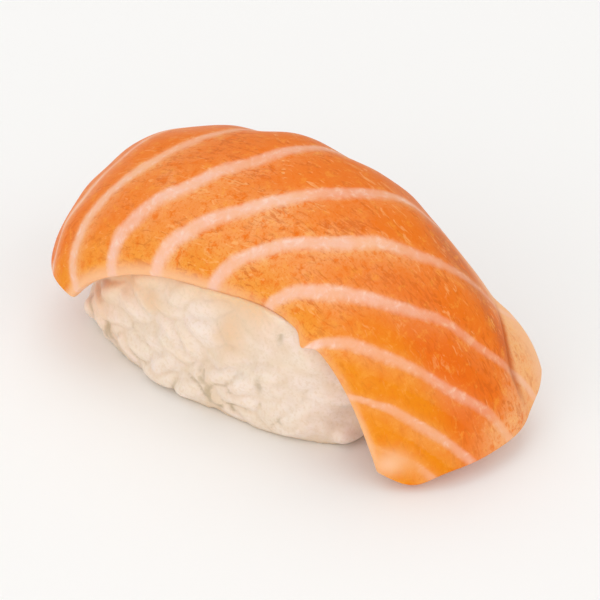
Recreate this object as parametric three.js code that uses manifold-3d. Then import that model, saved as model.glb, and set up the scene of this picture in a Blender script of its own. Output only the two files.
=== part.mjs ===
// Salmon nigiri: an oblong of hand-pressed rice with a slice of raw salmon draped along it.
// Millimetres, +Z up. +X runs along the piece to the end where the slice hangs down furthest,
// -Y is the front, where most of the rice shows. The origin is under the middle of the piece.

import * as THREE from "three";
import { mergeVertices } from "three/addons/utils/BufferGeometryUtils.js";
import Module from "manifold-3d";

const wasm = await Module();
wasm.setup();

const DEGREES = Math.PI / 180;
const GAP = 0.35; // between the slice and the rice

// The slice's top face is a crown line, bent down from its highest point towards both ends,
// with a section across it that droops to both sides. "along" runs from -1 at the far end
// to 1 at the near end, "across" from -1 at the front edge to 1 at the back edge.
const slice = {
  crown: { x: 1.55, y: -0.9, z: 28.1 }, // highest point of the crown line
  nearLength: 45.1, // along the crown line, from the crown to each end
  farLength: 43,
  nearDroop: 75, // degrees that the crown line has turned down at its ends
  farDroop: 75,
  nearBend: 1, // 1 bends evenly, more leaves the bend to the end
  farBend: 1.65,
  frontWidth: 15.6, // across the top face at the crown, from the crown line to each edge
  backWidth: 14.6,
  frontDroop: 67, // degrees that the section has turned down at its edges
  backDroop: 58.5,
  sideBend: 1.37,
  roll: 13.6, // degrees that the whole slice leans towards the front
  yaw: 6.6, // degrees that it lies askew on the rice
  sway: -1.4, // sideways drift of the near end
  thickness: 4.6,
  rimThickness: 0.9,
  endTaper: 12, // powers: the higher, the closer to the rim the slice begins to thin
  sideTaper: 6,
};

// What the widths and droops are multiplied by at the two ends
const endFactors = {
  near: { frontWidth: 1.02, frontDroop: 0.83, backWidth: 0.88, backDroop: 1.01 },
  far: { frontWidth: 1.05, frontDroop: 0.9, backWidth: 1.11, backDroop: 0.92 },
};

// The ends are rounded, and the near one has a tongue close to its front corner
const endRounding = 0.1;
const tongue = { length: 0.048, at: -0.81, spread: 0.22 };

// On the near half the back edge is drawn in a little, then turns outwards as a flap behind a
// crease. The crease is an arc: it comes in from the back edge, is nearest to the crown line
// at "along", and runs back out towards the near end. Its groove fades out both ways, and the
// flap turns up from "before" the crease on.
const waist = { narrowing: 0.052, at: 0.47, spread: 0.16 };
const crease = { along: 0.88, across: 0.5, curve: 8.3, depth: 0.4, spread: 0.05 };
const creaseFades = { outwards: 0.68, fromAlong: 0.85, toAlong: 0.97 };
const flap = { turn: 24.5, width: 0.32, before: 0.08 };

// Away from that flap the back side reaches further down, with the same curve carried on
const backReach = { extra: 0.45, full: 0.15, ends: 0.6 };

// How the front edge steps out of its plain course along the slice, with one small tooth. Only
// the outer part of the slice follows it: the power "fade" says how little of it.
const edgeSteps = [
  { by: 0.55, from: -1, to: -0.5 },
  { by: -0.8, from: -0.15, to: 0.26 },
  { by: 0.55, from: 0.42, to: 0.85 },
];
const tooth = { by: 0.9, at: 0.352, spread: 0.035 };
const edgeFade = 6;

// Low lumps, and one dent, along the back half of the top face
const lumps = [
  { height: 1.2, along: -0.1, long: 0.14, across: 0.58, wide: 0.38 },
  { height: 0.4, along: -0.59, long: 0.09, across: 0.38, wide: 0.3 },
  { height: -1.2, along: 0.45, long: 0.15, across: 1, wide: 0.48 },
];

const sliceGrid = { along: 40, across: 22 };

// The rice is a rounded oblong with a flat underside
const rice = {
  centre: { x: -3.7, y: -1.3 },
  halfLength: 23.6,
  halfWidth: 12.35,
  height: 27,
  corner: 2.6, // 2 gives an ellipse in plan, more a squarer oblong
  shoulder: 2.5, // the same for the side view
  footHeight: 2.8, // below this the sides run down to the board
  footTuck: 0.07, // share of the size that the foot is drawn in at the board
  bumps: 0.35, // the hand's pressure leaves the sides uneven by about this much
};
const bumpWaves = [
  { round: 7, up: 0.5, shift: 0 }, // waves round the sides, radians per millimetre of height
  { round: 12, up: -0.8, shift: 2 },
];
const riceGrid = { around: 40, foot: 2, dome: 7 };

// Cooked grains that stand out of the sides
const grain = {
  length: 6.2,
  width: 3.1,
  sides: 5,
  rings: [
    { at: -0.74, radius: 0.74 },
    { at: 0.04, radius: 1 },
    { at: 0.76, radius: 0.7 },
  ],
  sizeSpread: 0.16, // share by which grains differ in size
  tilt: 50, // most degrees to either side of level
  sunk: 0.19, // share of its width that a grain's middle lies under the core's surface
  nearSunk: 0.22, // the same on top of that at the near end, where the rice is pressed smooth
  foot: 0.3, // share of its width that a grain reaches below its axis, once pressed flat
};

// Rows of grains round the sides
const rows = {
  lowest: 1.5, // height of the lowest row's middle
  apart: 2.75,
  spacing: 5.35, // from grain to grain along a row
  highest: 21.5,
  narrowing: 0.55, // how much shorter the rows get towards the top
  play: 0.5, // share of the spacing that a grain is moved by at random
  coverDepth: 1.2, // grains this far above the slice's rim are hidden, and left out
  seed: 20,
};

// Cosines of the direction in plan between which the grains go deeper
const nearEndFrom = { start: 0.3, full: 0.8 };

// What the rice is cut with: the room of the slice, and all that lies below the board
const roomAbove = 14;
const roomBeyondRim = 1;
const boardBlock = { size: 200, depth: 20 };

// ---- Small helpers ----

const clamp01 = (t) => Math.min(1, Math.max(0, t));
const smooth = (t) => t * t * (3 - 2 * t);
const hill = (t, at, spread) => Math.exp(-(((t - at) / spread) ** 2));
// 0 before one place, 1 after the other, and smooth between them
const rise = (t, from, to) => smooth(clamp01((t - from) / (to - from)));

// Mean of a function over 0..1
function mean(f, steps = 32) {
  let sum = 0;
  for (let i = 0; i < steps; i++) sum += f((i + 0.5) / steps);
  return sum / steps;
}

// Random numbers in 0..1 that are the same on every run
function seededRandom(seed) {
  let state = seed;
  return () => {
    state = (state + 0x6d2b79f5) | 0;
    let mixed = Math.imul(state ^ (state >>> 15), 1 | state);
    mixed = (mixed + Math.imul(mixed ^ (mixed >>> 7), 61 | mixed)) ^ mixed;
    return ((mixed ^ (mixed >>> 14)) >>> 0) / 4294967296;
  };
}

function geometryOf(points, triangles) {
  const geometry = new THREE.BufferGeometry();
  const positions = new Float32Array(points.flatMap((p) => [p.x, p.y, p.z]));
  geometry.setAttribute("position", new THREE.BufferAttribute(positions, 3));
  geometry.setIndex(triangles);
  return geometry;
}

function solidOf(geometry) {
  const merged = mergeVertices(geometry, 1e-4);
  const vertProperties = merged.attributes.position.array;
  const triVerts = new Uint32Array(merged.index.array);
  return new wasm.Manifold(new wasm.Mesh({ numProp: 3, vertProperties, triVerts }));
}

function geometryOfSolid(solid) {
  const { numProp, numVert, vertProperties, triVerts } = solid.getMesh();
  const points = [];
  for (let i = 0; i < numVert; i++) {
    points.push(new THREE.Vector3().fromArray(vertProperties, i * numProp));
  }
  return geometryOf(points, [...triVerts]);
}

// ---- The slice of salmon ----

// A width or a droop along the slice: as named at the crown, changed towards each end
function sized(name, along) {
  const end = along > 0 ? endFactors.near : endFactors.far;
  return slice[name] * (1 + (end[name] - 1) * smooth(clamp01(Math.abs(along))));
}

// Point and downward turn of the crown line: x and z are the running sums of
// cos(turn) and -sin(turn), with turn = droop * share^bend
function crownLine(along) {
  const near = along > 0;
  const share = Math.min(1, Math.abs(along));
  const droop = (near ? slice.nearDroop : slice.farDroop) * DEGREES;
  const bend = near ? slice.nearBend : slice.farBend;
  const length = near ? slice.nearLength : slice.farLength;
  const beyond = Math.max(0, Math.abs(along) - 1);
  const turn = droop * share ** bend;
  const level = share * mean((t) => Math.cos(droop * (share * t) ** bend));
  const fall = share * mean((t) => Math.sin(droop * (share * t) ** bend));
  return {
    x: (near ? 1 : -1) * length * (level + beyond * Math.cos(turn)),
    z: -length * (fall + beyond * Math.sin(turn)),
    turn: near ? turn : -turn,
  };
}

// Sideways place and drop of the section: the running sums of cos(turn) and sin(turn)
// from the crown line out to the edge
function crossSection(along, across, grooved) {
  const front = across < 0;
  const share = Math.abs(across);
  const fold = creaseAt(along);
  const reach = front ? 1 : backReachAt(along);
  const width = sized(front ? "frontWidth" : "backWidth", along) * reach;
  const fullDroop = sized(front ? "frontDroop" : "backDroop", along) * reach ** slice.sideBend;
  const droop = fullDroop * DEGREES;
  const flapTurn = front ? 0 : flap.turn * DEGREES;
  const bent = fold - flap.before;
  const turn = (u) => droop * u ** slice.sideBend - flapTurn * rise(u, bent, bent + flap.width);
  const level = share * mean((t) => Math.cos(turn(share * t)));
  const drop = share * mean((t) => Math.sin(turn(share * t)));
  const edge = front ? share ** edgeFade * frontEdge(along) : 0;
  const groove = front || !grooved ? 0 : grooveDepth(along, across, fold);
  return {
    y: (front ? -1 : 1) * (width * level + edge),
    drop: width * drop + edge + groove - lumpHeight(along, across),
  };
}

// How many times wider the back side is than its named width
function backReachAt(along) {
  const longer = 1 + backReach.extra * (1 - rise(along, backReach.full, backReach.ends));
  return longer * (1 - waist.narrowing * hill(along, waist.at, waist.spread));
}

// Where the crease lies across the slice, past 1 where there is none
function creaseAt(along) {
  return crease.across + crease.curve * (along - crease.along) ** 2;
}

// The groove along the crease, fading out before it meets the back edge and the near end
function grooveDepth(along, across, fold) {
  const outer = 1 - rise(fold, creaseFades.outwards, 1);
  const nearEnd = 1 - rise(along, creaseFades.fromAlong, creaseFades.toAlong);
  return crease.depth * outer * nearEnd * hill(across, fold, crease.spread);
}

// How far the front edge stands out of its plain course
function frontEdge(along) {
  const steps = edgeSteps.map((step) => step.by * rise(along, step.from, step.to));
  return steps.reduce((a, b) => a + b) + tooth.by * hill(along, tooth.at, tooth.spread);
}

// Height that the lumps and the dent add to the top face
function lumpHeight(along, across) {
  const heights = lumps.map(
    (lump) =>
      lump.height * hill(along, lump.along, lump.long) * hill(across, lump.across, lump.wide),
  );
  return heights.reduce((a, b) => a + b);
}

// A point of the slice's top face, with the crease's groove or without it
function topFace(along, across, grooved = true) {
  const line = crownLine(along);
  const section = crossSection(along, across, grooved);
  const side = section.y + slice.sway * smooth(clamp01(along));
  const roll = slice.roll * DEGREES;
  const y = side * Math.cos(roll) + section.drop * Math.sin(roll);
  const out = side * Math.sin(roll) - section.drop * Math.cos(roll);
  const point = new THREE.Vector3(
    line.x + out * Math.sin(line.turn),
    y,
    line.z + out * Math.cos(line.turn),
  );
  point.applyAxisAngle(new THREE.Vector3(0, 0, 1), slice.yaw * DEGREES);
  return point.add(slice.crown);
}

// Direction straight out of the top face, taken without the groove
function topNormal(along, across) {
  const step = 0.004;
  const a = topFace(along + step, across, false).sub(topFace(along - step, across, false));
  const b = topFace(along, across + step, false).sub(topFace(along, across - step, false));
  return a.cross(b).normalize();
}

// Where the grid's corners lie on the top face: the ends follow their rounding and the tongue
function endReach(across, near) {
  const reach = 1 - endRounding * Math.abs(across) ** 3;
  return near ? reach + tongue.length * hill(across, tongue.at, tongue.spread) : reach;
}

// A plate that follows the top face, lifted above it by "above", reaching "below" under the
// slice's underside and "beyond" past its rim
function draped(above, below, beyond) {
  const { along: rows, across: columns } = sliceGrid;
  const upper = [];
  const lower = [];
  for (let i = 0; i <= rows; i++) {
    for (let j = 0; j <= columns; j++) {
      const u = (2 * i) / rows - 1;
      const v = (2 * j) / columns - 1;
      const halfLength = u > 0 ? slice.nearLength : slice.farLength;
      const halfWidth = v > 0 ? slice.backWidth : slice.frontWidth;
      const across = v * (1 + beyond / halfWidth);
      const along = u * (endReach(v, u > 0) + beyond / halfLength);
      const taper = Math.sqrt((1 - u ** slice.endTaper) * (1 - v ** slice.sideTaper));
      const thickness = slice.rimThickness + (slice.thickness - slice.rimThickness) * taper;
      const normal = topNormal(along, across);
      const under = topFace(along, across, false).addScaledVector(normal, -thickness - below);
      upper.push(topFace(along, across).addScaledVector(normal, above));
      lower.push(under);
    }
  }
  const points = [...upper, ...lower];
  const lowerStart = upper.length;
  const at = (i, j) => i * (columns + 1) + j;
  const triangles = [];
  const quad = (a, b, c, d) => triangles.push(a, b, c, a, c, d);
  for (let i = 0; i < rows; i++) {
    for (let j = 0; j < columns; j++) {
      const corners = [at(i, j), at(i + 1, j), at(i + 1, j + 1), at(i, j + 1)];
      quad(...corners);
      quad(...corners.map((k) => k + lowerStart).reverse());
    }
  }
  const rim = [];
  for (let i = 0; i < rows; i++) rim.push(at(i, 0));
  for (let j = 0; j < columns; j++) rim.push(at(rows, j));
  for (let i = rows; i > 0; i--) rim.push(at(i, columns));
  for (let j = columns; j > 0; j--) rim.push(at(0, j));
  rim.forEach((k, n) => {
    const next = rim[(n + 1) % rim.length];
    quad(next, k, k + lowerStart, next + lowerStart);
  });
  return geometryOf(points, triangles);
}

// ---- The rice ----

// Distance from the middle to the side of the oblong, for a direction in plan
function oblongRadius(angle) {
  const c = Math.abs(Math.cos(angle)) ** rice.corner;
  const s = Math.abs(Math.sin(angle)) ** rice.corner;
  return (c + s) ** (-1 / rice.corner);
}

// A point of the core's surface: "level" is -1 at the board, 0 at the top of the foot and
// 1 at the top, where the sides have come together
function corePoint(angle, level) {
  const lean = level < 0 ? 1 - rice.footTuck * level ** 2 : Math.cos((level * Math.PI) / 2);
  const spread = level < 0 ? lean : lean ** (2 / rice.shoulder);
  const climb = Math.sin((clamp01(level) * Math.PI) / 2) ** (2 / rice.shoulder);
  const foot = rice.footHeight * Math.min(1, 1 + level);
  const z = foot + (rice.height - rice.footHeight) * climb;
  const waves = bumpWaves.map((w) => Math.sin(w.round * angle + w.up * z + w.shift));
  const bump = rice.bumps * waves.reduce((a, b) => a + b);
  const radius = oblongRadius(angle) * spread;
  const swell = 1 + (bump * spread) / rice.halfLength;
  return new THREE.Vector3(
    rice.centre.x + rice.halfLength * radius * Math.cos(angle) * swell,
    rice.centre.y + rice.halfWidth * radius * Math.sin(angle) * swell,
    z,
  );
}

function coreGeometry() {
  const { around, foot, dome } = riceGrid;
  const levels = [];
  for (let i = 0; i <= foot; i++) levels.push(i / foot - 1);
  for (let i = 1; i < dome; i++) levels.push(i / dome);
  const points = [new THREE.Vector3(rice.centre.x, rice.centre.y, 0)];
  for (const level of levels) {
    for (let k = 0; k < around; k++) points.push(corePoint((k / around) * 2 * Math.PI, level));
  }
  points.push(new THREE.Vector3(rice.centre.x, rice.centre.y, rice.height));
  const at = (i, k) => 1 + i * around + (k % around);
  const top = points.length - 1;
  const last = levels.length - 1;
  const triangles = [];
  for (let k = 0; k < around; k++) {
    triangles.push(0, at(0, k + 1), at(0, k));
    for (let i = 0; i < last; i++) {
      triangles.push(at(i, k), at(i, k + 1), at(i + 1, k + 1));
      triangles.push(at(i, k), at(i + 1, k + 1), at(i + 1, k));
    }
    triangles.push(at(last, k), at(last, k + 1), top);
  }
  return geometryOf(points, triangles);
}

// One grain along X: three rings of five corners between two tips
function grainGeometry() {
  const { sides, rings } = grain;
  const points = [new THREE.Vector3(-grain.length / 2, 0, 0)];
  for (const ring of rings) {
    for (let k = 0; k < sides; k++) {
      const angle = (k / sides) * 2 * Math.PI;
      const radius = (ring.radius * grain.width) / 2;
      const x = (ring.at * grain.length) / 2;
      points.push(new THREE.Vector3(x, radius * Math.cos(angle), radius * Math.sin(angle)));
    }
  }
  points.push(new THREE.Vector3(grain.length / 2, 0, 0));
  const at = (i, k) => 1 + i * sides + (k % sides);
  const last = rings.length - 1;
  const triangles = [];
  for (let k = 0; k < sides; k++) {
    triangles.push(0, at(0, k + 1), at(0, k));
    for (let i = 0; i < last; i++) {
      triangles.push(at(i, k), at(i, k + 1), at(i + 1, k + 1));
      triangles.push(at(i, k), at(i + 1, k + 1), at(i + 1, k));
    }
    triangles.push(at(last, k), at(last, k + 1), points.length - 1);
  }
  return geometryOf(points, triangles);
}

// Points all round the slice's rim
function sliceRim(steps = 40) {
  const points = [];
  for (let i = 0; i <= steps; i++) {
    const t = (2 * i) / steps - 1;
    points.push(topFace(t, -1), topFace(t, 1), topFace(-1, t), topFace(1, t));
  }
  return points;
}

// Whether a grain lies above the part of the rim that is nearest to it in plan
function isCovered(place, rim) {
  const spot = corePoint(place.angle, levelAt(place.z));
  const away = (p) => Math.hypot(p.x - spot.x, p.y - spot.y);
  const nearest = rim.reduce((a, b) => (away(b) < away(a) ? b : a));
  return place.z > nearest.z + rows.coverDepth;
}

// Directions that divide the oblong's outline into equal lengths, as a function of the share
// walked round it, with the outline's full length
function outlineWalk(steps = 720) {
  const angleOf = (i) => (i / steps) * 2 * Math.PI;
  const walked = [0];
  for (let i = 0; i < steps; i++) {
    const side = corePoint(angleOf(i), 0).distanceTo(corePoint(angleOf(i + 1), 0));
    walked.push(walked[i] + side);
  }
  const length = walked[steps];
  const angleAt = (share) => angleOf(walked.findIndex((w) => w >= (share % 1) * length));
  return { length, angleAt };
}

// Places of the grains: rows round the sides, evenly spaced with some play
function grainPlaces() {
  const random = seededRandom(rows.seed);
  const rim = sliceRim();
  const outline = outlineWalk();
  const places = [];
  for (let row = 0; rows.lowest + row * rows.apart < rows.highest; row++) {
    const z = rows.lowest + row * rows.apart;
    const raised = Math.max(0, z - rice.footHeight) / rice.height;
    const rowLength = outline.length * (1 - rows.narrowing * raised ** 2);
    const count = Math.round(rowLength / rows.spacing);
    const offset = (row % 2) / 2;
    for (let n = 0; n < count; n++) {
      const place = {
        angle: outline.angleAt((n + offset + rows.play * random()) / count),
        z: z + (random() - 0.5) * rows.play * rows.apart,
        tilt: (random() * 2 - 1) * grain.tilt * DEGREES,
        size: 1 + (random() * 2 - 1) * grain.sizeSpread,
      };
      if (!isCovered(place, rim)) places.push(place);
    }
  }
  return places;
}

// Level of the core's surface at a height
function levelAt(z) {
  if (z < rice.footHeight) return z / rice.footHeight - 1;
  const climb = clamp01((z - rice.footHeight) / (rice.height - rice.footHeight));
  return (Math.asin(climb ** (rice.shoulder / 2)) * 2) / Math.PI;
}

function placedGrain(shape, place) {
  const level = levelAt(place.z);
  const point = corePoint(place.angle, level);
  const turnStep = 0.01;
  const heightStep = 0.1;
  const aside = corePoint(place.angle + turnStep, level).sub(point).normalize();
  const up = corePoint(place.angle, levelAt(place.z + heightStep)).sub(point).normalize();
  const outward = aside.clone().cross(up).normalize();
  const axis = aside.clone().applyAxisAngle(outward, place.tilt);
  const reachDown = Math.abs(axis.z) * 0.5 * grain.length + grain.foot * grain.width;
  const atNearEnd = rise(Math.cos(place.angle), nearEndFrom.start, nearEndFrom.full);
  const sunk = grain.sunk + grain.nearSunk * atNearEnd;
  point.addScaledVector(outward, -sunk * grain.width);
  point.z = Math.max(point.z, reachDown * place.size);
  const third = outward.clone().cross(axis).normalize();
  const matrix = new THREE.Matrix4().makeBasis(axis, third, outward);
  matrix.scale(new THREE.Vector3(place.size, place.size, place.size));
  matrix.setPosition(point);
  return shape.clone().applyMatrix4(matrix);
}

function riceGeometry() {
  const shape = grainGeometry();
  let solid = solidOf(coreGeometry());
  for (const place of grainPlaces()) solid = solid.add(solidOf(placedGrain(shape, place)));
  const room = draped(roomAbove, GAP, roomBeyondRim);
  const board = new THREE.BoxGeometry(boardBlock.size, boardBlock.size, boardBlock.depth);
  board.translate(0, 0, -boardBlock.depth / 2);
  board.deleteAttribute("normal");
  board.deleteAttribute("uv");
  const pieces = solid.subtract(solidOf(room)).subtract(solidOf(board)).decompose();
  pieces.sort((a, b) => b.volume() - a.volume());
  return geometryOfSolid(pieces[0]);
}

// ---- The piece ----

const salmonMaterial = new THREE.MeshStandardMaterial({
  color: 0xec8233,
  roughness: 0.35,
  metalness: 0,
});
const riceMaterial = new THREE.MeshStandardMaterial({
  color: 0xeed9c7,
  roughness: 0.55,
  metalness: 0,
});

const salmonMesh = new THREE.Mesh(draped(0, 0, 0), salmonMaterial);
salmonMesh.name = "salmon";

const riceMesh = new THREE.Mesh(riceGeometry(), riceMaterial);
riceMesh.name = "rice";

const nigiri = new THREE.Group();
nigiri.name = "salmon_nigiri";
nigiri.add(riceMesh, salmonMesh);

export default nigiri;
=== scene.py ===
import math
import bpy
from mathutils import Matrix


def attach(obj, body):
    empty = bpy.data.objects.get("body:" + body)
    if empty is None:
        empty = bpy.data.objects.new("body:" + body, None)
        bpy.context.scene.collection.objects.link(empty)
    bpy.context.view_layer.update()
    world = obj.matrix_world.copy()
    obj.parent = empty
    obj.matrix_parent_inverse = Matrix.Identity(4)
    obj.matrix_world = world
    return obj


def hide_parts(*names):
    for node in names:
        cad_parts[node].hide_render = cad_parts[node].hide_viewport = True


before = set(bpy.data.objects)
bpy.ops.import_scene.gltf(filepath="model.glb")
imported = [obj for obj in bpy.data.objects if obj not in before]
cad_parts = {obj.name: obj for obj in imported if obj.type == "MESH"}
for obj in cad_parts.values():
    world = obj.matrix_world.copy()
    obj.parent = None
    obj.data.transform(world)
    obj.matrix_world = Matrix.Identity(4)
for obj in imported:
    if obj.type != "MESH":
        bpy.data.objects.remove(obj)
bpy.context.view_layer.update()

from types import SimpleNamespace

import bpy
import numpy as np
from bpy.props import FloatProperty, FloatVectorProperty, IntProperty, PointerProperty
from bpy.types import Operator, Panel, PropertyGroup
from mathutils import Vector

bl_info = {
    "name": "Salmon Nigiri",
    "version": (1, 0, 0),
    "blender": (4, 5, 0),
    "location": "View3D > Sidebar > Nigiri",
    "description": "One piece of salmon nigiri: pressed rice under a draped slice of raw salmon",
    "category": "Object",
}

MM = 0.001
DEGREES = math.pi / 180

# ---- Shape of the slice, in millimetres and degrees, as in the frame ----

# A place on the slice is "along", from -1 at the far end to 1 at the near end, and "across", from
# -1 at the front edge to 1 at the back edge. Both run over the curved top face, from 0 at the
# crown. Lengths and widths start there too. A droop is the turn from level at the end of the way;
# before it the turn is the droop times the share of the way to the power of the bend. The tapers
# are the powers by which the slice thins out towards its rim.
SLICE = {
    "crown": (1.55, -0.9, 28.1),
    "near_length": 45.1,
    "far_length": 43.0,
    "near_droop": 75.0,
    "far_droop": 75.0,
    "near_bend": 1.0,
    "far_bend": 1.65,
    "front_width": 15.6,
    "back_width": 14.6,
    "front_droop": 67.0,
    "back_droop": 58.5,
    "side_bend": 1.37,
    "roll": 13.6,
    "yaw": 6.6,
    "sway": -1.4,
    "thickness": 4.6,
    "rim_thickness": 0.9,
    "rim_squareness": 12,
    "end_taper": 12,
    "side_taper": 6,
}
# What the widths and droops are multiplied by at the ends
END_FACTORS = {
    "near": {"front_width": 1.02, "front_droop": 0.83, "back_width": 0.88, "back_droop": 1.01},
    "far": {"front_width": 1.05, "front_droop": 0.9, "back_width": 1.11, "back_droop": 0.92},
}
# The ends are rounded off, and the near end has a tongue, as shares of the length
END_ROUNDING = 0.1
TONGUE = {"length": 0.048, "at": -0.81, "spread": 0.22}
# The back side is wider by the extra share, as far along as "full" and then less, until it
# "ends", and it is narrower at a waist
BACK_REACH = {"extra": 0.45, "full": 0.15, "ends": 0.6}
WAIST = {"narrowing": 0.052, "at": 0.47, "spread": 0.16}
# The crease is an arc in the back corner of the near end, and the flap behind it turns up
CREASE = {"along": 0.88, "across": 0.5, "curve": 8.3, "depth": 0.4, "spread": 0.05}
CREASE_FADES = {"outwards": 0.68, "from_along": 0.85, "to_along": 0.97}
FLAP = {"turn": 24.5, "width": 0.32, "before": 0.08}
# Steps of the front edge: how far out it moves, from where to where along the slice
EDGE_STEPS = ((0.55, -1, -0.5), (-0.8, -0.15, 0.26), (0.55, 0.42, 0.85))
# A small tooth of the front edge, and the power by which it and the steps fade out inwards
TOOTH = {"by": 0.9, "at": 0.352, "spread": 0.035}
EDGE_FADE = 6
# Lumps of the top face: height, then place and spread along and across
LUMPS = ((1.2, -0.1, 0.14, 0.58, 0.38), (0.4, -0.59, 0.09, 0.38, 0.3), (-1.2, 0.45, 0.15, 1, 0.48))
# Between two fat lines the flesh swells as this power of a half sine, and all over it is uneven
SWELL_FULLNESS = 0.7
UNEVEN_HEIGHT = 0.1

# The slice's grid: rows of points in each rim, and the half length and half width in millimetres
# that they are spaced for
RIM_ROWS = 5
RIM_SPACED_FOR = (44, 16)

# ---- Marks of the slice ----

# Fat lines. Each starts on the front edge at its place along the slice, runs straight in for
# "straight", then turns towards the near end, "slant" along for each unit across.
LINE_STARTS = (-1.62, -1.35, -1.07, -0.83, -0.557, -0.32, -0.08, 0.155, 0.382, 0.612, 0.81, 0.99)
LINE_SHAPE = {
    "starts": (-0.6, -0.335, -0.09, 0.153, 0.378, 0.62),
    "slant": (0.417, 0.467, 0.47, 0.54, 0.582, 0.531),
    "straight": (0.161, 0.191, 0.174, 0.195, 0.138, 0.05),
}
LINE_BACK_TURN = {"amount": 0.041, "begins": 0.15, "ends": 0.65}
# Waves that every line has: how far along, then place and spread across
LINE_WAVES = ((0.011, -0.27, 0.14), (-0.009, -0.72, 0.1), (-0.009, 0, 0.09))
# The lines are numbered from 0. Those below the first number are fainter, and those above the
# second don't reach the front edge.
FAINT_LINES_BELOW = 4
SHORT_LINES_ABOVE = 9

# Where the near side and the creased corner set in and are full, along the slice
NEAR_SIDE = (0.25, 0.7)
CREASED = (0.5, 0.72)
# The top, which is left lighter as a painted sheen of light from above, and where the flesh
# is more fibrous: its middle and spread along the slice
TOP = (-0.05, 0.45)
# Uneven patterns: the size of each in millimetres from crest to crest, and its seed
PATTERNS = {
    "relief": (9, 3),
    "line": (5, 21),
    "sheen": (14, 8),
    "pool": (16, 5),
    "rice_crease": (7, 11),
    "rice_tint": (12, 4),
}

# ---- Shape of the rice ----

# The core is an oblong whose corners and shoulders are rounder the nearer their powers are to 2.
# Its foot is drawn in by a share of its radius.
RICE = {
    "centre": (-3.7, -1.3),
    "half_length": 23.6,
    "half_width": 12.35,
    "height": 27.0,
    "corner": 2.6,
    "shoulder": 2.5,
    "foot_height": 2.8,
    "foot_tuck": 0.07,
    "bumps": 0.35,
}
# Waves round the core: how many, how they turn with height, and where they start
BUMP_WAVES = ((7, 0.5, 0.0), (12, -0.8, 2.0))
# As shares of a grain's width: how far it is sunk into the core, how much further at the near
# end, and how high its middle stays over the board. Its ends are blunter with a lower power.
GRAIN = {
    "length": 6.2,
    "width": 3.1,
    "end_power": 0.72,
    "size_spread": 0.16,
    "tilt": 50,
    "sunk": 0.19,
    "near_sunk": 0.22,
    "foot": 0.3,
}
# Rows of grains up the core. Higher rows have fewer grains, and no grain lies more than the cover
# depth above the slice's rim. The play is a share of the spacing and of the rows' distance.
ROWS = {
    "lowest": 1.5,
    "apart": 2.75,
    "spacing": 5.35,
    "highest": 21.5,
    "narrowing": 0.55,
    "play": 0.5,
    "cover_depth": 1.2,
    "seed": 20,
}
# From where to where the grains sink further, as the cosine of the angle round the core
NEAR_END = (0.3, 0.8)
# How far the rice reaches into the slice, so that no dark slit shows, and the height of the room
# that is cut out of the rice for the slice
OVERLAP = 0.12
ROOM_HEIGHT = 14
# Spots of painted shade and of painted light on the front of the rice: place along and up,
# half length and half height
PAINTED_SHADE_SPOTS = ((3.4, 14.2, 2.6, 4.2), (-9.5, 13.0, 2.4, 2.0))
PAINTED_LIGHT_SPOTS = (
    (0.4, 12.4, 1.7, 1.6),
    (8.4, 14.0, 1.5, 2.0),
    (11.7, 14.6, 0.9, 1.3),
    (4.6, 5.6, 2.4, 1.5),
    (17, 4, 4.5, 7),
)
# Small clefts in the front of the rice, in the same form, and how deep they are. They also get
# painted shade.
CLEFTS = ((10.2, 15.2, 0.4, 1.1), (-0.3, 6.2, 0.45, 1.2), (8.2, 7.8, 0.4, 1.3), (5.2, 3.4, 1.4, 0.4))
CLEFT_DEPTH = 0.16
# How wide the seams between grains are where they are drawn in, and how wide their line of
# painted shade is
SEAM_WIDTH = 0.7
CREASE_WIDTH = 0.4
# Seed of the draw that makes some grains pearly
PEARL_SEED = 5

# ---- Stage, in metres and watts ----

FLOOR_HALF = 3.0
WORLD_LIGHT = 0.6
# Each lamp's name, place, size and power
LAMPS = (
    ("key", (0.05, -0.6, 0.6), 0.8, 0.85),
    ("front", (0.38, -0.65, 0.14), 0.7, 1.05),
    ("left", (-0.35, -0.7, 0.15), 0.7, 1.1),
    ("right", (0.7, 0.0, 0.35), 0.8, 1.45),
    ("top", (-0.3, 0.25, 0.7), 0.8, 1.9),
)
LIT_POINT = (0, 0, 0.012)
# The nearest and furthest that the camera sees
CLIPPING = (0.01, 20)
# What the camera looks at, and the width of its sensor, in millimetres
CAMERA_TARGET = (3.776, -0.451, 12.08)
SENSOR_WIDTH = 36


# ---- Small helpers ----


def linear(hex_colour):
    """An sRGB hex colour as linear red, green and blue."""
    srgb = np.array([int(hex_colour[i : i + 2], 16) for i in (1, 3, 5)]) / 255
    return tuple(np.where(srgb <= 0.04045, srgb / 12.92, ((srgb + 0.055) / 1.055) ** 2.4))


def smooth(t):
    """The smooth step t * t * (3 - 2 t)."""
    return t * t * (3 - 2 * t)


def rise(t, begins, ends):
    """0 before one place, 1 after the other, smooth between them."""
    return smooth(np.clip((t - begins) / (ends - begins), 0, 1))


def hill(t, at, spread):
    """A bell curve of height 1."""
    return np.exp(-(((t - at) / spread) ** 2))


def mean(function, steps=32):
    """Mean of a function of arrays over 0 to 1, taken at the middle of each step."""
    return sum(function((i + 0.5) / steps) for i in range(steps)) / steps


def unit(vector):
    """A single vector at length 1."""
    return vector / np.linalg.norm(vector)


def uneven(points, size, seed, waves=24):
    """Soft random relief of about -1 to 1: the sum of sine waves in random directions, each about
    "size" from crest to crest."""
    random = np.random.default_rng(seed)
    directions = random.normal(size=(waves, points.shape[-1]))
    directions /= np.linalg.norm(directions, axis=1, keepdims=True)
    rates = 2 * math.pi / size * random.uniform(0.6, 1.5, waves)
    shifts = random.uniform(0, 2 * math.pi, waves)
    return np.sin(points @ (directions * rates[:, None]).T + shifts).sum(-1) / math.sqrt(waves)


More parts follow.
